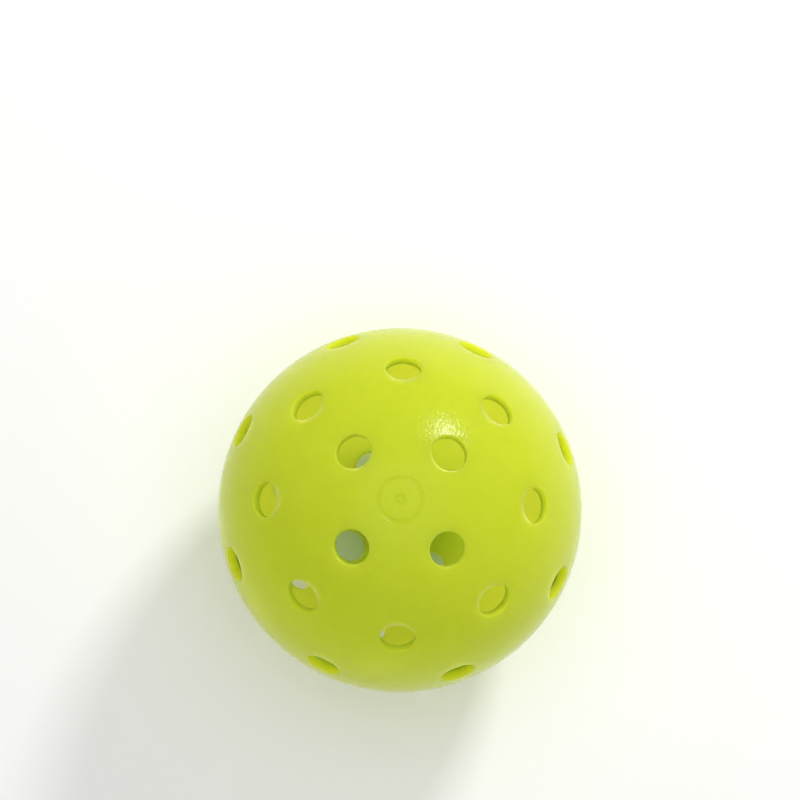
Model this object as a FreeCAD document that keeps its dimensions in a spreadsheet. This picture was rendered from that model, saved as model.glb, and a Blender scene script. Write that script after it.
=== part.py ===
"""Pickleball ball: two moulded half shells, drilled with holes, welded rim to rim.

The ball's centre is the origin and +Z runs through the pole of the upper half.
The joint between the halves lies in the XY plane. Lengths are millimetres.
"""

import FreeCAD, Part
import math
import os
import Sketcher

# Driving dimensions: name, value in millimetres or degrees, what it sets.
SIZES = (
    ("ball_radius", 37.0, "outside of the ball"),
    ("wall", 1.8, "shell wall away from the rim"),
    ("rim_extra", 0.55, "how much thicker the rim is than the wall, on the inside"),
    ("rim_band", 2.2, "height of the thick rim, from the joint plane"),
    ("rim_taper", 2.0, "height over which the rim thins back to the wall"),
    ("rim_bevel", 0.25, "bevel on the outer edge of each rim"),
    ("tongue_width", 0.8, "thickness of the upper rim's tongue"),
    ("tongue_height", 0.6, "reach of the tongue below the upper rim"),
    ("tongue_clearance", 0.1, "gap at each side of the tongue, filled by the weld"),
    ("weld_film", 0.2, "thickness of the weld between the rims"),
    ("weld_fill", 0.7, "share of the bevel's depth that the weld fills"),
    ("weld_bead", 0.5, "radius of the bead inside the ball"),
    ("hole_radius", 3.45, "drilled hole"),
    ("hole_edge", 0.25, "rounding of each hole's edges, outside and inside"),
    ("inner_ring_polar", 20.5, "angle from the pole to the four inner holes"),
    ("inner_ring_azimuth", 45.0, "first inner hole, round the pole from +X"),
    ("middle_ring_polar", 45.2, "angle from the pole to the eight middle holes"),
    ("middle_ring_azimuth", 0.0, "first middle hole"),
    ("outer_ring_polar", 71.0, "angle from the pole to the eight outer holes"),
    ("outer_ring_azimuth", 20.5, "first outer hole"),
    ("lower_turn", -13.5, "turn of the lower half about Z when it was welded"),
    ("mark_radius", 4.2, "plain engraved ring round the pole"),
    ("mark_depth", 0.2, "depth of the engraved ring"),
    ("mark_nose", 0.6, "nose radius of the tool that cut the ring"),
    ("gate_radius", 1.0, "shallow well at the pole where the plastic was fed in"),
    ("gate_depth", 0.25, "depth of the well, below the pole"),
    ("gate_stub_radius", 0.5, "stub left in the well"),
    ("gate_stub_height", 0.15, "height of the stub above the well's floor"),
)

# Two lengths this close are the same.
SAME_SIZE = 1e-4

# Hole rings: name, number of holes.
HOLE_RINGS = (("inner_ring", 4), ("middle_ring", 8), ("outer_ring", 8))

# Places at the joint, as formulas on the sizes: the rim's flat land, the top of its outer
# bevel, the inside of the thick rim, and the middle of its thickness.
LAND = "(Sizes.weld_film / 2)"
BEVEL_TOP = "(Sizes.weld_film / 2 + Sizes.rim_bevel)"
RIM_INSIDE = "(Sizes.ball_radius - Sizes.wall - Sizes.rim_extra)"
JOINT_RADIUS = "(Sizes.ball_radius - (Sizes.wall + Sizes.rim_extra) / 2)"

doc = FreeCAD.newDocument("pickleball")


def make_sheet():
    """The sheet of driving dimensions; one row each, with its name as alias."""
    sheet = doc.addObject("Spreadsheet::Sheet", "Sizes")
    for row, (name, value, meaning) in enumerate(SIZES, start=1):
        sheet.set(f"A{row}", name)
        sheet.set(f"B{row}", str(value))
        sheet.setAlias(f"B{row}", name)
        sheet.set(f"C{row}", meaning)
    doc.recompute()
    return sheet


def new_body(label):
    body = doc.addObject("PartDesign::Body", label)
    body.Label = label
    return body


def origin_feature(body, role):
    return next(f for f in body.Origin.OriginFeatures if f.Role == role)


def new_sketch(body, name, plane):
    sketch = body.newObject("Sketcher::SketchObject", name)
    sketch.AttachmentSupport = (origin_feature(body, plane), [""])
    sketch.MapMode = "FlatFace"
    return sketch


def bind(sketch, kind, where, formula):
    """Adds one dimension to a sketch and ties it to the sheet."""
    value = float(sketch.evalExpression(formula))
    index = sketch.addConstraint(Sketcher.Constraint(kind, *where, value))
    sketch.setExpression(f"Constraints[{index}]", formula)


def corner_point(sketch, corner, arc_radius):
    """A corner's starting place. One on an arc about the centre gives x or y only."""
    across, up = (None if f is None else float(sketch.evalExpression(f)) for f in corner)
    if across is None:
        across = math.sqrt(arc_radius**2 - up**2)
    if up is None:
        up = math.sqrt(arc_radius**2 - across**2)
    return FreeCAD.Vector(across, up, 0)


def draw_outline(sketch, corners, arcs=None):
    """Closed outline of straight edges. arcs gives edges that are round about the centre.

    corners holds (across, up) formulas; edge i runs from corner i to the next. arcs maps an
    edge's number to the formula of its radius, and its two corners leave out one coordinate.
    """
    arcs = arcs or {}
    count = len(corners)
    radius_at = {}
    for edge, formula in arcs.items():
        radius = float(sketch.evalExpression(formula))
        radius_at[edge] = radius
        radius_at[(edge + 1) % count] = radius
    points = [corner_point(sketch, c, radius_at.get(i)) for i, c in enumerate(corners)]
    centre = FreeCAD.Vector(0, 0, 0)
    up = FreeCAD.Vector(0, 0, 1)
    ends = []
    for edge in range(count):
        start = points[edge]
        end = points[(edge + 1) % count]
        if edge not in arcs:
            sketch.addGeometry(Part.LineSegment(start, end), False)
            ends.append((1, 2))
            continue
        first = math.atan2(start.y, start.x)
        last = math.atan2(end.y, end.x)
        circle = Part.Circle(centre, up, start.Length)
        sketch.addGeometry(Part.ArcOfCircle(circle, min(first, last), max(first, last)), False)
        ends.append((1, 2) if first < last else (2, 1))
    for edge in range(count):
        following = (edge + 1) % count
        meeting = (edge, ends[edge][1], following, ends[following][0])
        sketch.addConstraint(Sketcher.Constraint("Coincident", *meeting))
    for edge, formula in arcs.items():
        sketch.addConstraint(Sketcher.Constraint("Coincident", edge, 3, -1, 1))
        bind(sketch, "Radius", (edge,), formula)
    for index, (across, rise) in enumerate(corners):
        for kind, formula in (("DistanceX", across), ("DistanceY", rise)):
            if formula == "0":
                axis = -2 if kind == "DistanceX" else -1
                sketch.addConstraint(Sketcher.Constraint("PointOnObject", index, ends[index][0], axis))
            elif formula is not None:
                bind(sketch, kind, (-1, 1, index, ends[index][0]), formula)


def turned(body, name, sketch, kind):
    """Turns a section once round the body's Z axis: kind is Revolution or Groove."""
    feature = body.newObject(f"PartDesign::{kind}", name)
    feature.Profile = sketch
    feature.ReferenceAxis = (sketch, ["V_Axis"])
    feature.Angle = 360.0
    doc.recompute()
    return feature


def moulded_shell(body):
    """The half shell as it leaves the mould: even wall, thick rim, bevelled outer edge."""
    section = new_sketch(body, "shell_section", "XZ_Plane")
    corners = (
        ("0", None),
        (None, BEVEL_TOP),
        ("Sizes.ball_radius - Sizes.rim_bevel", LAND),
        (RIM_INSIDE, LAND),
        (RIM_INSIDE, "Sizes.rim_band"),
        (None, "Sizes.rim_band + Sizes.rim_taper"),
        ("0", None),
    )
    draw_outline(section, corners, {0: "Sizes.ball_radius", 5: "Sizes.ball_radius - Sizes.wall"})
    return turned(body, "shell", section, "Revolution")


def rectangle(body, name, left, right, bottom, top):
    section = new_sketch(body, name, "XZ_Plane")
    draw_outline(section, ((left, bottom), (right, bottom), (right, top), (left, top)))
    return section


def rim_tongue(body):
    """Tongue that stands out of the upper rim, down across the joint plane."""
    half = "Sizes.tongue_width / 2"
    section = rectangle(
        body, "tongue_section",
        f"{JOINT_RADIUS} - {half}", f"{JOINT_RADIUS} + {half}",
        f"{LAND} - Sizes.tongue_height", f"{LAND} + Sizes.rim_band / 2",
    )
    return turned(body, "tongue", section, "Revolution")


def rim_groove(body):
    """Groove in the lower rim: the tongue's own size and its clearance."""
    half = "(Sizes.tongue_width / 2 + Sizes.tongue_clearance)"
    section = rectangle(
        body, "groove_section",
        f"{JOINT_RADIUS} - {half}", f"{JOINT_RADIUS} + {half}",
        f"{LAND} - Sizes.weld_film", f"{LAND} + Sizes.tongue_height",
    )
    return turned(body, "rim_groove", section, "Groove")


def hole_ring(body, ring, count):
    """One ring of holes: the first is drilled towards the centre, the rest follow round Z."""
    sketch = new_sketch(body, f"{ring}_hole", "XY_Plane")
    sketch.setExpression("AttachmentOffset.Rotation.Yaw", f"Sizes.{ring}_azimuth")
    sketch.setExpression("AttachmentOffset.Rotation.Pitch", f"Sizes.{ring}_polar")
    circle = Part.Circle(FreeCAD.Vector(0, 0, 0), FreeCAD.Vector(0, 0, 1), 1)
    sketch.addGeometry(circle, False)
    sketch.addConstraint(Sketcher.Constraint("Coincident", 0, 3, -1, 1))
    bind(sketch, "Radius", (0,), "Sizes.hole_radius")
    drilled = body.newObject("PartDesign::Pocket", f"{ring}_drilled")
    drilled.Profile = sketch
    drilled.Type = "Length"
    drilled.Reversed = True
    drilled.setExpression("Length", "2 * Sizes.ball_radius")
    doc.recompute()
    pattern = body.newObject("PartDesign::PolarPattern", f"{ring}_pattern")
    pattern.Originals = [drilled]
    pattern.Axis = (origin_feature(body, "Z_Axis"), [""])
    pattern.Angle = 360.0
    pattern.Occurrences = count
    body.Tip = pattern
    doc.recompute()
    return pattern


def rounded_hole_edges(body, sheet):
    """Rounds both edges of every hole: the circles of the drill's own radius."""
    drilled = body.Tip
    edges = []
    for number, edge in enumerate(drilled.Shape.Edges, start=1):
        if edge.Degenerated or not isinstance(edge.Curve, Part.Circle):
            continue
        if abs(edge.Curve.Radius - sheet.hole_radius) < SAME_SIZE:
            edges.append(f"Edge{number}")
    rounding = body.newObject("PartDesign::Fillet", "hole_edges")
    rounding.Base = (drilled, edges)
    rounding.setExpression("Radius", "Sizes.hole_edge")
    doc.recompute()
    return rounding


def engraved_ring(body):
    """Plain ring engraved round the pole with a round-nosed tool."""
    sketch = new_sketch(body, "mark_tool", "XZ_Plane")
    reach = "(1 + (Sizes.mark_nose - Sizes.mark_depth) / Sizes.ball_radius)"
    across = f"Sizes.mark_radius * {reach}"
    rise = f"sqrt(Sizes.ball_radius ^ 2 - Sizes.mark_radius ^ 2) * {reach}"
    place = FreeCAD.Vector(float(sketch.evalExpression(across)), float(sketch.evalExpression(rise)), 0)
    sketch.addGeometry(Part.Circle(place, FreeCAD.Vector(0, 0, 1), 1), False)
    bind(sketch, "DistanceX", (-1, 1, 0, 3), across)
    bind(sketch, "DistanceY", (-1, 1, 0, 3), rise)
    bind(sketch, "Radius", (0,), "Sizes.mark_nose")
    return turned(body, "engraved_ring", sketch, "Groove")


def gate_mark(body):
    """Well at the pole where the plastic was fed in, and the stub left on its floor."""
    floor = "Sizes.ball_radius - Sizes.gate_depth"
    well = rectangle(
        body, "gate_well_section", "0", "Sizes.gate_radius",
        floor, "Sizes.ball_radius + Sizes.gate_depth",
    )
    turned(body, "gate_well", well, "Groove")
    stub = rectangle(
        body, "gate_stub_section", "0", "Sizes.gate_stub_radius",
        f"{floor} - Sizes.wall / 2", f"{floor} + Sizes.gate_stub_height",
    )
    return turned(body, "gate_stub", stub, "Revolution")


def half_shell(label, rim_feature, sheet):
    """A half shell with its pole on its own +Z, moulded, drilled and edge-rounded."""
    body = new_body(label)
    moulded_shell(body)
    rim_feature(body)
    engraved_ring(body)
    gate_mark(body)
    for ring, count in HOLE_RINGS:
        hole_ring(body, ring, count)
    rounded_hole_edges(body, sheet)
    return body


def weld_seam():
    """Ring of re-set plastic: fills the joint, part of the outer bevels, and beads inside."""
    body = new_body("weld_seam")
    section = new_sketch(body, "weld_section", "XZ_Plane")
    bevel_foot = "(Sizes.ball_radius - Sizes.rim_bevel)"
    bevel_head = f"sqrt(Sizes.ball_radius ^ 2 - {BEVEL_TOP} ^ 2)"
    face = f"{bevel_foot} + Sizes.weld_fill * ({bevel_head} - {bevel_foot})"
    face_rise = f"{LAND} + Sizes.weld_fill * Sizes.rim_bevel"
    tongue = "Sizes.tongue_width / 2"
    groove = "(Sizes.tongue_width / 2 + Sizes.tongue_clearance)"
    corners = (
        (face, face_rise),
        (bevel_foot, LAND),
        (f"{JOINT_RADIUS} + {tongue}", LAND),
        (f"{JOINT_RADIUS} + {tongue}", f"{LAND} - Sizes.tongue_height"),
        (f"{JOINT_RADIUS} - {tongue}", f"{LAND} - Sizes.tongue_height"),
        (f"{JOINT_RADIUS} - {tongue}", LAND),
        (RIM_INSIDE, LAND),
        (RIM_INSIDE, f"-{LAND}"),
        (f"{JOINT_RADIUS} - {groove}", f"-{LAND}"),
        (f"{JOINT_RADIUS} - {groove}", f"-{LAND} - Sizes.tongue_height"),
        (f"{JOINT_RADIUS} + {groove}", f"-{LAND} - Sizes.tongue_height"),
        (f"{JOINT_RADIUS} + {groove}", f"-{LAND}"),
        (bevel_foot, f"-{LAND}"),
        (face, f"-({face_rise})"),
    )
    draw_outline(section, corners)
    turned(body, "weld", section, "Revolution")
    return inner_bead(body)


def inner_bead(body):
    """Half-round bead of squeezed-out plastic along the joint, inside the ball."""
    section = new_sketch(body, "bead_section", "XZ_Plane")
    middle = float(section.evalExpression(RIM_INSIDE))
    radius = float(section.evalExpression("Sizes.weld_bead"))
    circle = Part.Circle(FreeCAD.Vector(middle, 0, 0), FreeCAD.Vector(0, 0, 1), radius)
    section.addGeometry(Part.ArcOfCircle(circle, math.pi / 2, 3 * math.pi / 2), False)
    below = FreeCAD.Vector(middle, -radius, 0)
    above = FreeCAD.Vector(middle, radius, 0)
    section.addGeometry(Part.LineSegment(below, above), False)
    section.addConstraint(Sketcher.Constraint("Coincident", 0, 2, 1, 1))
    section.addConstraint(Sketcher.Constraint("Coincident", 1, 2, 0, 1))
    section.addConstraint(Sketcher.Constraint("Vertical", 1))
    section.addConstraint(Sketcher.Constraint("PointOnObject", 0, 3, 1))
    section.addConstraint(Sketcher.Constraint("PointOnObject", 0, 3, -1))
    bind(section, "DistanceX", (-1, 1, 0, 3), RIM_INSIDE)
    bind(section, "Radius", (0,), "Sizes.weld_bead")
    return turned(body, "bead", section, "Revolution")


def check_model():
    for item in doc.Objects:
        if "Invalid" in item.State or "Error" in item.State:
            raise RuntimeError(f"{item.Label} did not compute")
    for body in doc.findObjects("PartDesign::Body"):
        shape = body.Shape
        if shape.isNull() or not shape.isValid() or len(shape.Solids) != 1:
            raise RuntimeError(f"{body.Label} is not one valid solid")


def write_parts():
    os.makedirs("parts", exist_ok=True)
    for body in doc.findObjects("PartDesign::Body"):
        body.Shape.exportStep(f"parts/{body.Label}.step")
        box = body.Shape.optimalBoundingBox()
        print(f"{body.Label}: {body.Shape.Volume:.1f} mm3, Z {box.ZMin:.3f} to {box.ZMax:.3f}")


sheet = make_sheet()
upper = half_shell("upper_half_shell", rim_tongue, sheet)
lower = half_shell("lower_half_shell", rim_groove, sheet)
lower.Placement = FreeCAD.Placement(FreeCAD.Vector(0, 0, 0), FreeCAD.Rotation(0, 0, 180))
lower.setExpression("Placement.Rotation.Yaw", "Sizes.lower_turn")
weld_seam()
doc.recompute()
check_model()
write_parts()
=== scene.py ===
import math

import bmesh
import bpy
from mathutils import Matrix, Vector, noise


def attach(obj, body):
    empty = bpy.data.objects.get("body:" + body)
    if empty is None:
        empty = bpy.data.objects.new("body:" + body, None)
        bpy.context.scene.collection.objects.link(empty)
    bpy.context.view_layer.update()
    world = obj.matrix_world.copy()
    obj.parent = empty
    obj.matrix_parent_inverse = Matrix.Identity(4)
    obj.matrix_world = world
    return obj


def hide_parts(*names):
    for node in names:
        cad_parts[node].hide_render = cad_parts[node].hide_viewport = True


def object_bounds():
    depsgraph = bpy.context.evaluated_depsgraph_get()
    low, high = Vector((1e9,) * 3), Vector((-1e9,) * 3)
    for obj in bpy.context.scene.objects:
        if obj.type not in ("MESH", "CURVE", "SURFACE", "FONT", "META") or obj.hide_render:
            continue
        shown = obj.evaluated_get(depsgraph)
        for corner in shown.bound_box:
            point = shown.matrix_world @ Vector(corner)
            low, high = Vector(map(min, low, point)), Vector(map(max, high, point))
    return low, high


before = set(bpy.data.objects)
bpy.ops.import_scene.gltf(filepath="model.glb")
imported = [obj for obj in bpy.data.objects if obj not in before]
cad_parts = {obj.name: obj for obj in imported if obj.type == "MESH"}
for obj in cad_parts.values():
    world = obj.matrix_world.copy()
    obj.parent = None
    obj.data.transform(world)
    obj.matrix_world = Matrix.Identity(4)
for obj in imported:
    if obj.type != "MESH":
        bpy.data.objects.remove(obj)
cad_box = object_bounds()

# Upper half shell: one of two hard polyethylene domes, moulded a little translucent with a fine
# pebbled skin. Twenty holes are drilled square to the wall, their edges broken, and the rim
# carries a tongue. At the pole are the plain engraved ring and the well of the feed point.
ball_radius = 0.0370
wall = 0.0018
inner_radius = ball_radius - wall
rim_inside = inner_radius - 0.00055
rim_band = 0.0022
rim_taper = 0.0020
rim_bevel = 0.00025
rim_soft = 0.00006
joint_radius = (ball_radius + rim_inside) / 2
tongue_half = 0.0004
tongue_height = 0.0006
tongue_clearance = 0.0001
weld_half = 0.0001
hole_radius = 0.00345
hole_edge = 0.00025
hole_lip = 0.0003
hole_rings = ((20.5, 45.0, 4), (45.2, 0.0, 8), (71.0, 20.5, 8))
bore_steps = 4
mark_radius = 0.0042
mark_depth = 0.0002
mark_nose = 0.0006
mark_shares = (1.5, 1.25, 1.08, 0.94, 0.8, 0.6, 0.35, 0.12)
mark_lip = 1.1
mark_ease = 0.000006
gate_radius = 0.0010
gate_depth = 0.00025
gate_stub_radius = 0.0005
gate_stub_height = 0.00015
gate_soft = 0.00008
gate_approach = (0.0028, 0.0020, 0.00135)
stub_crown = ball_radius - gate_depth + gate_stub_height
pole_reach = 0.0054
skin_fineness = 7
round_steps = 5
crumb = 0.00016
corner_angle = math.radians(38)
up = Vector((0, 0, 1))


def draw_on(bm, edges, axes, stations, finish=0, depths=None):
    """Carries round edges on through stations of reach and rise about their axes, lathe-wise."""
    depth_mark = bm.verts.layers.float["bore_depth"]
    for number, (reach, rise) in enumerate(stations):
        made = bmesh.ops.extrude_edge_only(bm, edges=edges)["geom"]
        points = {g for g in made if isinstance(g, bmesh.types.BMVert)}
        edges = [
            g for g in made
            if isinstance(g, bmesh.types.BMEdge) and g.verts[0] in points and g.verts[1] in points
        ]
        set_round(points, axes, reach, rise)
        for point in points:
            point[depth_mark] = depths[number] if depths else 0.0
        for face in (g for g in made if isinstance(g, bmesh.types.BMFace)):
            face.material_index = finish
    return edges


def set_round(points, axes, reach, rise):
    """Sets points at a reach from the nearest of some axes, and a rise along it."""
    for point in points:
        axis = max(axes, key=point.co.dot)
        outward = (point.co - axis * point.co.dot(axis)).normalized()
        point.co = axis * rise + outward * reach


def round_edge(bm, points, axis, reach, rise):
    """Merges points crowded at a fresh cut, and returns its edges, set truly round."""
    bmesh.ops.remove_doubles(bm, verts=points, dist=crumb)
    edges = {e for v in points if v.is_valid for e in v.link_edges if e.is_boundary}
    set_round({v for e in edges for v in e.verts}, [axis], reach, rise)
    return list(edges)


def cut_round(bm, axis, reach):
    """Slices a cap off the outer skin, square to an axis, and returns the round edge left."""
    rise = math.sqrt(ball_radius**2 - reach**2)
    near = [f for f in bm.faces if f.verts[0].co.dot(axis) > rise - reach / 2]
    parts = {p for f in near for p in (*f.verts, *f.edges)}
    cut = bmesh.ops.bisect_plane(
        bm, geom=[*near, *parts], plane_co=axis * rise, plane_no=axis, clear_outer=True
    )["geom_cut"]
    fresh = [g for g in cut if isinstance(g, bmesh.types.BMVert)]
    beside = {v for point in fresh for e in point.link_edges for v in e.verts}
    crowded = [v for v in beside if v.co.dot(axis) > rise - crumb * reach / ball_radius]
    return round_edge(bm, crowded, axis, reach, rise)


def hole_axes():
    """The directions of a half's holes from the ball's centre, ring by ring."""
    for polar, first, count in hole_rings:
        tilt = math.radians(polar)
        for number in range(count):
            turn = math.radians(first + number * 360 / count)
            flat = math.sin(tilt)
            yield Vector((flat * math.cos(turn), flat * math.sin(turn), math.cos(tilt)))


def broken_edge(skin, side):
    """Stations round a hole's broken edge, walking inwards: side is 1 outside, -1 inside."""
    reach = hole_radius + hole_edge
    middle = skin - side * hole_edge
    rise = math.sqrt(middle**2 - reach**2)
    lean = math.atan2(reach, rise)
    if side > 0:
        first, last = math.pi / 2 - lean, math.pi
    else:
        first, last = math.pi, 1.5 * math.pi - lean
    for step in range(round_steps + 1):
        angle = first + (last - first) * step / round_steps
        yield reach + hole_edge * math.cos(angle), rise + hole_edge * math.sin(angle)


def drill(bm, axes, outer_edges, inner_edges):
    """Lines the holes: broken outer edge, bore wall, broken inner edge, join to the inner skin."""
    outside = list(broken_edge(ball_radius, 1))
    inside = list(broken_edge(inner_radius, -1))
    top, bottom = outside[-1][1], inside[0][1]
    depths = [step / bore_steps for step in range(1, bore_steps + 1)]
    bore = [(hole_radius, top + (bottom - top) * depth) for depth in depths]
    edges = draw_on(bm, outer_edges, axes, outside)
    edges = draw_on(bm, edges, axes, bore, finish=1, depths=depths)
    lip = hole_radius + hole_edge + hole_lip
    lip_rise = math.sqrt(inner_radius**2 - lip**2)
    edges = draw_on(bm, edges, axes, [*inside[1:], (lip, lip_rise)])
    inner_points = {v for e in inner_edges for v in e.verts}
    set_round(inner_points, axes, lip, lip_rise)
    meeting = [*inner_points, *{v for e in edges for v in e.verts}]
    bmesh.ops.remove_doubles(bm, verts=meeting, dist=crumb / 8)


def pole_stations():
    """From the skin inwards: engraved ring with softened lips, then the feed point's well."""
    middle = math.asin(mark_radius / ball_radius)
    half = math.sqrt(mark_nose**2 - (mark_nose - mark_depth)**2)
    for share in (*mark_shares, *(-share for share in reversed(mark_shares))):
        offset = share * half
        sunk = 0.0
        if abs(share) < mark_lip:
            sunk = math.sqrt(mark_nose**2 - min(offset**2, half**2)) - (mark_nose - mark_depth)
            sunk = max(sunk, mark_ease)
        angle = middle + offset / ball_radius
        yield (ball_radius - sunk) * math.sin(angle), (ball_radius - sunk) * math.cos(angle)
    for reach in (*gate_approach, gate_radius + gate_soft):
        yield reach, math.sqrt(ball_radius**2 - reach**2)
    brink = math.sqrt(ball_radius**2 - gate_radius**2)
    floor = ball_radius - gate_depth
    yield gate_radius + gate_soft * 0.3, brink - gate_soft * 0.25
    yield gate_radius, brink - gate_soft
    yield gate_radius - gate_soft * 0.1, floor + gate_soft
    yield gate_radius - gate_soft, floor
    yield gate_stub_radius + gate_soft * 0.6, floor
    yield gate_stub_radius, floor + gate_soft * 0.6
    yield gate_stub_radius - gate_soft * 0.3, stub_crown - gate_soft * 0.3
    yield gate_stub_radius - gate_soft, stub_crown
    yield gate_stub_radius / 3, stub_crown


def half_shell(rim_stations):
    """A half shell with its pole on +Z, as one closed wall."""
    bm = bmesh.new()
    bm.verts.layers.float.new("bore_depth")
    bmesh.ops.create_icosphere(bm, subdivisions=skin_fineness, radius=ball_radius)
    bevel_top = weld_half + rim_bevel
    whole = [*bm.verts, *bm.edges, *bm.faces]
    bmesh.ops.bisect_plane(bm, geom=whole, plane_co=up * bevel_top, plane_no=up, clear_inner=True)
    crowded = [v for v in bm.verts if v.co.z < bevel_top + crumb]
    bevel_reach = math.sqrt(ball_radius**2 - bevel_top**2)
    rim_edge = round_edge(bm, crowded, up, bevel_reach, bevel_top)
    axes = list(hole_axes())
    lip = hole_radius + hole_edge + hole_lip
    outer_edges = [e for axis in axes for e in cut_round(bm, axis, lip)]

    copied = bmesh.ops.duplicate(bm, geom=[*bm.verts, *bm.edges, *bm.faces])
    inner_edges = [copied["edge_map"][e] for e in outer_edges]
    inner_skin = copied["geom"]
    inner_points = [g for g in inner_skin if isinstance(g, bmesh.types.BMVert)]
    bmesh.ops.scale(bm, vec=(inner_radius / ball_radius,) * 3, verts=inner_points)
    taper_top = rim_band + rim_taper
    bmesh.ops.bisect_plane(
        bm, geom=inner_skin, plane_co=up * taper_top, plane_no=up, clear_inner=True
    )
    outer_limit = inner_radius + wall / 4
    crowded = [v for v in bm.verts if v.co.z < taper_top + crumb and v.co.length < outer_limit]
    taper_reach = math.sqrt(inner_radius**2 - taper_top**2)
    taper_edge = round_edge(bm, crowded, up, taper_reach, taper_top)
    drill(bm, axes, outer_edges, inner_edges)

    inner_rim = draw_on(bm, taper_edge, [up], (
        (rim_inside + rim_soft * 3, rim_band + rim_soft * 10),
        (rim_inside, rim_band - rim_soft * 5),
        (rim_inside, rim_band / 2),
        (rim_inside, weld_half),
    ))
    outer_rim = draw_on(bm, rim_edge, [up], rim_stations)
    bmesh.ops.triangle_fill(bm, edges=[*inner_rim, *outer_rim], use_beauty=True, normal=-up)

    pole_edge = cut_round(bm, up, pole_reach)
    pole_edge = draw_on(bm, pole_edge, [up], list(pole_stations()))
    last_ring = [v for e in pole_edge for v in e.verts]
    bmesh.ops.pointmerge(bm, verts=list(set(last_ring)), merge_co=up * stub_crown)
    bmesh.ops.recalc_face_normals(bm, faces=bm.faces)
    if bm.calc_volume(signed=True) < 0:
        bmesh.ops.reverse_faces(bm, faces=bm.faces)
    return bm


def finish_piece(bm, name, materials, node):
    """Makes the piece's mesh, smooth but for real corners, and stands it in the node's place."""
    mesh = bpy.data.meshes.new(name)
    bm.to_mesh(mesh)
    bm.free()
    for material in materials:
        mesh.materials.append(material)
    mesh.shade_smooth()
    mesh.set_sharp_from_angle(angle=corner_angle)
    piece = bpy.data.objects.new(name, mesh)
    bpy.context.scene.collection.objects.link(piece)
    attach(piece, "root")
    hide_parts(node)


def new_group(name, inputs, outputs):
    """An empty shader node group with named sockets, and its input and output nodes."""
    group = bpy.data.node_groups.new(name, "ShaderNodeTree")
    for title, kind, value in inputs:
        socket = group.interface.new_socket(title, in_out="INPUT", socket_type=kind)
        socket.default_value = value
    for title, kind in outputs:
        group.interface.new_socket(title, in_out="OUTPUT", socket_type=kind)
    return group, group.nodes.new("NodeGroupInput"), group.nodes.new("NodeGroupOutput")


def add_node(tree, kind, links=(), **settings):
    """Adds a node: settings are its properties, links pairs an input with a socket or a value."""
    node = tree.nodes.new(kind)
    for title, value in settings.items():
        setattr(node, title, value)
    for title, source in links:
        if isinstance(source, bpy.types.NodeSocket):
            tree.links.new(source, node.inputs[title])
        else:
            node.inputs[title].default_value = source
    return node


def sums(tree, operation, first, second, third=None):
    """One arithmetic step on sockets or plain numbers, and its result."""
    terms = [(0, first), (1, second)] + ([(2, third)] if third is not None else [])
    return add_node(tree, "ShaderNodeMath", terms, operation=operation).outputs[0]


cloud_waves = 95.0
cloud_span = (0.36, 0.66)
scuff_waves = (260.0, 260.0, 1900.0)
scuff_span = (0.52, 0.72)
pebble_share = 0.6
scuff_share = 0.5


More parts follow.
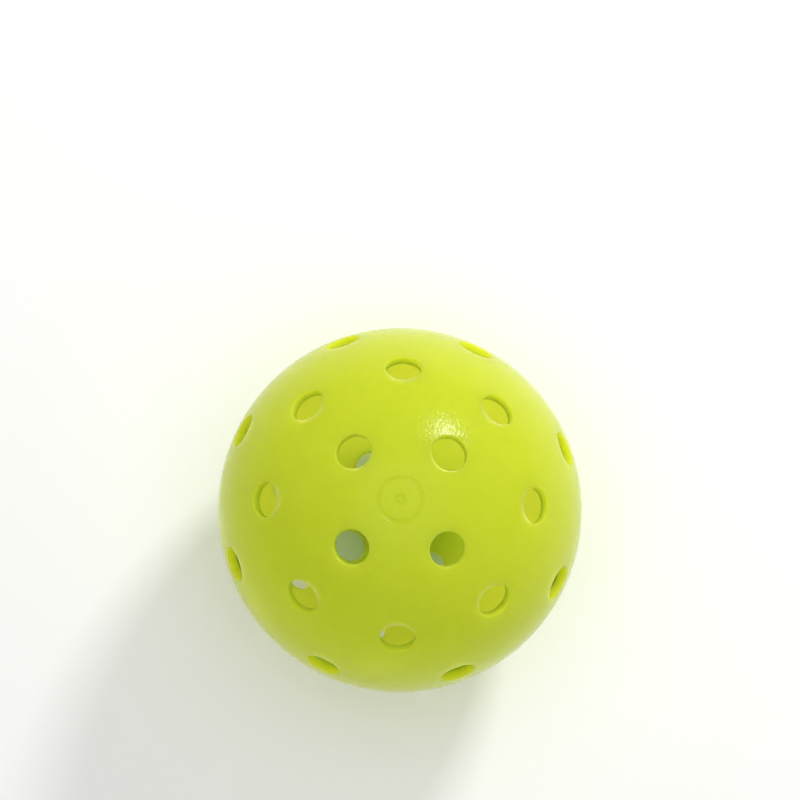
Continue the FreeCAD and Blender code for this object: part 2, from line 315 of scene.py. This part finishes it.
def moulded_grain():
    """The skin that a blasted mould leaves: fine pebble, slow swell of cooling, cloudy pigment."""
    group, given, result = new_group(
        "moulded_grain",
        (
            ("Tint", "NodeSocketColor", (0.6, 0.7, 0.05, 1)),
            ("Cloud Tint", "NodeSocketColor", (0.5, 0.6, 0.05, 1)),
            ("Pebble Size", "NodeSocketFloat", 0.0004),
            ("Pebble Depth", "NodeSocketFloat", 0.000004),
            ("Swell Size", "NodeSocketFloat", 0.004),
            ("Swell Depth", "NodeSocketFloat", 0.00001),
            ("Gloss Floor", "NodeSocketFloat", 0.3),
            ("Gloss Spread", "NodeSocketFloat", 0.12),
        ),
        (
            ("Colour", "NodeSocketColor"),
            ("Roughness", "NodeSocketFloat"),
            ("Height", "NodeSocketFloat"),
        ),
    )
    place = add_node(group, "ShaderNodeTexCoord").outputs["Object"]
    pebbles = add_node(group, "ShaderNodeTexNoise", (
        ("Vector", place),
        ("Scale", sums(group, "DIVIDE", 1.0, given.outputs["Pebble Size"])),
        ("Detail", 1.0), ("Roughness", 0.5),
    )).outputs["Fac"]
    swell = add_node(group, "ShaderNodeTexNoise", (
        ("Vector", place),
        ("Scale", sums(group, "DIVIDE", 1.0, given.outputs["Swell Size"])),
        ("Detail", 1.0), ("Roughness", 0.4),
    )).outputs["Fac"]
    cloud = add_node(group, "ShaderNodeTexNoise", (
        ("Vector", place), ("Scale", cloud_waves), ("Detail", 4.0), ("Roughness", 0.62),
        ("Distortion", 0.6),
    )).outputs["Fac"]
    clouds = add_node(group, "ShaderNodeMapRange", (
        ("Value", cloud), ("From Min", cloud_span[0]), ("From Max", cloud_span[1]),
    ), interpolation_type="SMOOTHSTEP").outputs["Result"]
    colour = add_node(group, "ShaderNodeMix", (
        (0, clouds), (6, given.outputs["Tint"]), (7, given.outputs["Cloud Tint"]),
    ), data_type="RGBA")
    scuff_run = add_node(group, "ShaderNodeMapping", (("Vector", place), ("Scale", scuff_waves)))
    scuffs = add_node(group, "ShaderNodeTexNoise", (
        ("Vector", scuff_run.outputs["Vector"]), ("Scale", 1.0), ("Detail", 3.0),
        ("Roughness", 0.7), ("Distortion", 1.4),
    )).outputs["Fac"]
    rubbed = add_node(group, "ShaderNodeMapRange", (
        ("Value", scuffs), ("From Min", scuff_span[0]), ("From Max", scuff_span[1]),
    )).outputs["Result"]
    scuffed = sums(group, "MULTIPLY", rubbed, scuff_share)
    coarse = sums(group, "MULTIPLY_ADD", pebbles, pebble_share, scuffed)
    spread, gloss_floor = given.outputs["Gloss Spread"], given.outputs["Gloss Floor"]
    rough = sums(group, "MULTIPLY_ADD", coarse, spread, gloss_floor)
    fine_height = sums(group, "MULTIPLY", pebbles, given.outputs["Pebble Depth"])
    height = sums(group, "MULTIPLY_ADD", swell, given.outputs["Swell Depth"], fine_height)
    group.links.new(colour.outputs[2], result.inputs["Colour"])
    group.links.new(rough, result.inputs["Roughness"])
    group.links.new(height, result.inputs["Height"])
    return group


grain = moulded_grain()
plastic_ior = 1.5
plastic_shine = 0.12


def plastic(name, tint, cloud_tint, pebble, swell, gloss, scatter, reach, extra_height=None):
    """A translucent polyethylene: light enters, wanders under the skin and comes out beside."""
    material = bpy.data.materials.new(name)
    material.use_nodes = True
    tree = material.node_tree
    shader = tree.nodes["Principled BSDF"]
    skin = add_node(tree, "ShaderNodeGroup", node_tree=grain)
    for title, value in (
        ("Tint", tint), ("Cloud Tint", cloud_tint),
        ("Pebble Size", pebble[0]), ("Pebble Depth", pebble[1]),
        ("Swell Size", swell[0]), ("Swell Depth", swell[1]),
        ("Gloss Floor", gloss[0]), ("Gloss Spread", gloss[1]),
    ):
        skin.inputs[title].default_value = value
    height = skin.outputs["Height"]
    if extra_height:
        height = sums(tree, "ADD", height, extra_height(tree))
    relief = add_node(tree, "ShaderNodeBump", (
        ("Height", height), ("Strength", 1.0), ("Distance", 1.0),
    ))
    tree.links.new(skin.outputs["Colour"], shader.inputs["Base Color"])
    tree.links.new(skin.outputs["Roughness"], shader.inputs["Roughness"])
    tree.links.new(relief.outputs["Normal"], shader.inputs["Normal"])
    shader.subsurface_method = "RANDOM_WALK"
    shader.inputs["Subsurface Weight"].default_value = 1.0
    shader.inputs["Subsurface Radius"].default_value = scatter
    shader.inputs["Subsurface Scale"].default_value = reach
    shader.inputs["IOR"].default_value = plastic_ior
    shader.inputs["Specular IOR Level"].default_value = plastic_shine
    return material


ring_waves = 14.0
ring_depth = 0.00003


def drill_rings(tree):
    """Fine rings that the drill's lips leave round the wall of a hole, as a height."""
    depth = add_node(tree, "ShaderNodeAttribute", attribute_name="bore_depth").outputs["Fac"]
    along = add_node(tree, "ShaderNodeTexNoise", (
        ("W", sums(tree, "MULTIPLY", depth, ring_waves)), ("Scale", 1.0), ("Detail", 3.0),
        ("Roughness", 0.7),
    ), noise_dimensions="1D").outputs["Fac"]
    return sums(tree, "MULTIPLY", along, ring_depth)


shell_tint = (0.775, 0.900, 0.023, 1)
shell_cloud = (0.750, 0.883, 0.020, 1)
shell_scatter = (1.1, 1.0, 0.6)
scatter_reach = 0.017
shell_skin = plastic(
    "shell_skin", shell_tint, shell_cloud, (0.00052, 0.000065), (0.0035, 0.000022),
    (0.14, 0.10), shell_scatter, scatter_reach,
)
drilled_wall = plastic(
    "drilled_wall", shell_tint, shell_cloud, (0.00016, 0.000008), (0.0035, 0.00001),
    (0.40, 0.18), shell_scatter, scatter_reach, drill_rings,
)
upper_rim = (
    (ball_radius - rim_bevel, weld_half),
    (joint_radius + tongue_half, weld_half),
    (joint_radius + tongue_half, weld_half - tongue_height),
    (joint_radius - tongue_half, weld_half - tongue_height),
    (joint_radius - tongue_half, weld_half),
)
shell_mesh = half_shell(upper_rim)
shell_finishes = [shell_skin, drilled_wall]
finish_piece(shell_mesh, "upper_half", shell_finishes, "upper_half_shell")

# Lower half shell: the same moulding with a groove in its rim for the upper half's tongue. It is
# turned over, pole down, and sits a little round from the upper half's holes, as it was welded.
lower_turn = math.radians(-13.5)
groove_half = tongue_half + tongue_clearance
lower_rim = (
    (ball_radius - rim_bevel, weld_half),
    (joint_radius + groove_half, weld_half),
    (joint_radius + groove_half, weld_half + tongue_height),
    (joint_radius - groove_half, weld_half + tongue_height),
    (joint_radius - groove_half, weld_half),
)
shell_mesh = half_shell(lower_rim)
placing = Matrix.Rotation(lower_turn, 3, "Z") @ Matrix.Rotation(math.pi, 3, "X")
bmesh.ops.rotate(shell_mesh, cent=(0, 0, 0), matrix=placing, verts=shell_mesh.verts)
finish_piece(shell_mesh, "lower_half", shell_finishes, "lower_half_shell")

# Weld seam: polyethylene melted and set again where the two rims were pressed together. It fills
# the film between the rims, the room round the tongue and part of the outer bevels, and stands
# as a soft bead inside. Squeezed-out plastic never sets quite even, so its faces wander a little.
weld_fill = 0.7
weld_bead = 0.0005
weld_steps = 480
weld_wander = 0.00003
weld_waves = 260.0
seat = 0.000008  # how far the weld stands clear of the rims, so that light crosses between them
weld_scatter_reach = 0.00015
weld_tint = (0.60, 0.70, 0.018, 1)
weld_cloud = (0.57, 0.67, 0.016, 1)
bead_steps = 8
bevel_foot = ball_radius - rim_bevel
bevel_head = math.sqrt(ball_radius**2 - (weld_half + rim_bevel)**2)
weld_face = bevel_foot + weld_fill * (bevel_head - bevel_foot)
weld_rise = weld_half + weld_fill * rim_bevel
film_half = weld_half - seat
groove_floor = weld_half + tongue_height - seat
tongue_foot = tongue_height - weld_half + seat
tongue_reach = tongue_half + seat
groove_reach = groove_half - seat
weld_section = [
    (weld_face, weld_rise - seat),
    (bevel_foot, film_half),
    (joint_radius + tongue_reach, film_half),
    (joint_radius + tongue_reach, -tongue_foot),
    (joint_radius - tongue_reach, -tongue_foot),
    (joint_radius - tongue_reach, film_half),
    (rim_inside - seat, film_half),
]
for step in range(bead_steps + 1):
    swing = math.pi / 2 + math.pi * step / bead_steps
    bead_reach = rim_inside - seat + weld_bead * math.cos(swing)
    weld_section.append((bead_reach, weld_bead * math.sin(swing)))
weld_section += [
    (rim_inside - seat, -film_half),
    (joint_radius - groove_reach, -film_half),
    (joint_radius - groove_reach, -groove_floor),
    (joint_radius + groove_reach, -groove_floor),
    (joint_radius + groove_reach, -film_half),
    (bevel_foot, -film_half),
    (weld_face, -weld_rise + seat),
    (weld_face + weld_wander, -weld_rise / 3),
    (weld_face + weld_wander, weld_rise / 3),
]
weld_mesh = bmesh.new()
section_points = [weld_mesh.verts.new((reach, 0, rise)) for reach, rise in weld_section]
section_edges = [
    weld_mesh.edges.new((section_points[number - 1], point))
    for number, point in enumerate(section_points)
]
bmesh.ops.spin(
    weld_mesh, geom=[*section_points, *section_edges], cent=(0, 0, 0), axis=up,
    angle=2 * math.pi, steps=weld_steps, use_merge=True,
)
bmesh.ops.remove_doubles(weld_mesh, verts=weld_mesh.verts, dist=crumb / 16)
for point in weld_mesh.verts:
    reach = math.hypot(point.co.x, point.co.y)
    at_face = reach > weld_face - rim_soft / 2
    at_bead = reach < rim_inside - rim_soft
    if at_face or at_bead:
        wave = noise.noise(point.co * weld_waves) * (weld_wander if at_face else weld_wander * 2)
        point.co += Vector((point.co.x, point.co.y, 0)).normalized() * wave
bmesh.ops.recalc_face_normals(weld_mesh, faces=weld_mesh.faces)
weld_plastic = plastic(
    "weld_plastic", weld_tint, weld_cloud, (0.0007, 0.000008), (0.0022, 0.00003),
    (0.16, 0.10), shell_scatter, weld_scatter_reach,
)
finish_piece(weld_mesh, "weld", [weld_plastic], "weld_seam")

# Floor: a plain pale matt sheet that the ball rests on, large enough to reach the skyline.
floor_level = cad_box[0].z - 0.00001
floor_reach = 6.0
floor_mesh = bmesh.new()
bmesh.ops.create_circle(floor_mesh, cap_ends=True, segments=96, radius=floor_reach)
bmesh.ops.translate(floor_mesh, vec=(0, 0, floor_level), verts=floor_mesh.verts)
floor_data = bpy.data.meshes.new("floor")
floor_mesh.to_mesh(floor_data)
floor_mesh.free()
pale_sheet = bpy.data.materials.new("pale_sheet")
pale_sheet.use_nodes = True
sheet_shader = pale_sheet.node_tree.nodes["Principled BSDF"]
sheet_shader.inputs["Base Color"].default_value = (0.96, 0.96, 0.96, 1)
sheet_shader.inputs["Roughness"].default_value = 0.9
sheet_shader.inputs["Specular IOR Level"].default_value = 0.1
floor_data.materials.append(pale_sheet)
floor = bpy.data.objects.new("floor", floor_data)
bpy.context.scene.collection.objects.link(floor)

# Studio: an even white tent, a broad panel overhead, and a small bright lamp on the right behind
# the ball. Light goes in and out of the ball's walls many times before it leaves.
tent = bpy.data.worlds.new("tent")
tent.use_nodes = True
bpy.context.scene.world = tent
tent_light = tent.node_tree.nodes["Background"].inputs
tent_light["Color"].default_value = (1.0, 1.0, 1.0, 1)
tent_light["Strength"].default_value = 0.50


def soft_box(name, direction, distance, size, watts, colour):
    """A rectangular lamp that faces the ball from a direction and doesn't show itself."""
    light = bpy.data.lights.new(name, "AREA")
    light.shape = "RECTANGLE"
    light.size, light.size_y = size
    light.energy = watts
    light.color = colour
    lamp = bpy.data.objects.new(name, light)
    lamp.location = Vector(direction).normalized() * distance
    lamp.rotation_euler = Vector(direction).to_track_quat("Z", "Y").to_euler()
    lamp.visible_camera = False
    bpy.context.scene.collection.objects.link(lamp)


soft_box(
    "overhead_panel", direction=(0, 0, 1), distance=0.9, size=(0.9, 0.9),
    watts=2.9, colour=(1.0, 1.0, 1.0),
)
soft_box(
    "key_lamp", direction=(0.405, 0.69, 0.60), distance=0.55, size=(0.10, 0.05),
    watts=1.5, colour=(1.0, 1.0, 0.97),
)
wall_crossings = 14
bpy.context.scene.cycles.diffuse_bounces = wall_crossings
bpy.context.scene.cycles.max_bounces = wall_crossings + 4

# Camera: a long lens above the ball, a few degrees off its pole, aimed so that the ball sits
# below the middle of the frame.
viewing_distance = 12.5 * ball_radius
lens = 101.8
sensor = 36.0
aim_lift = math.radians(2.767)
turn_across = Matrix.Rotation(math.radians(0.17), 3, "Y")
turn_down = Matrix.Rotation(math.radians(-2.85), 3, "X")
roll = Matrix.Rotation(math.radians(-1.28), 3, "Z")
to_view = turn_across @ turn_down @ roll
camera_data = bpy.data.cameras.new("camera")
camera_data.lens = lens
camera_data.sensor_width = sensor
camera_data.clip_start = 0.01
camera_data.clip_end = 30.0
camera = bpy.data.objects.new("camera", camera_data)
stance = (to_view.transposed() @ Matrix.Rotation(aim_lift, 3, "X")).to_4x4()
stance.translation = to_view.transposed() @ Vector((0, 0, viewing_distance))
camera.matrix_world = stance
bpy.context.scene.collection.objects.link(camera)
bpy.context.scene.camera = camera
bpy.context.scene.view_settings.view_transform = "Standard"

bpy.context.view_layer.update()
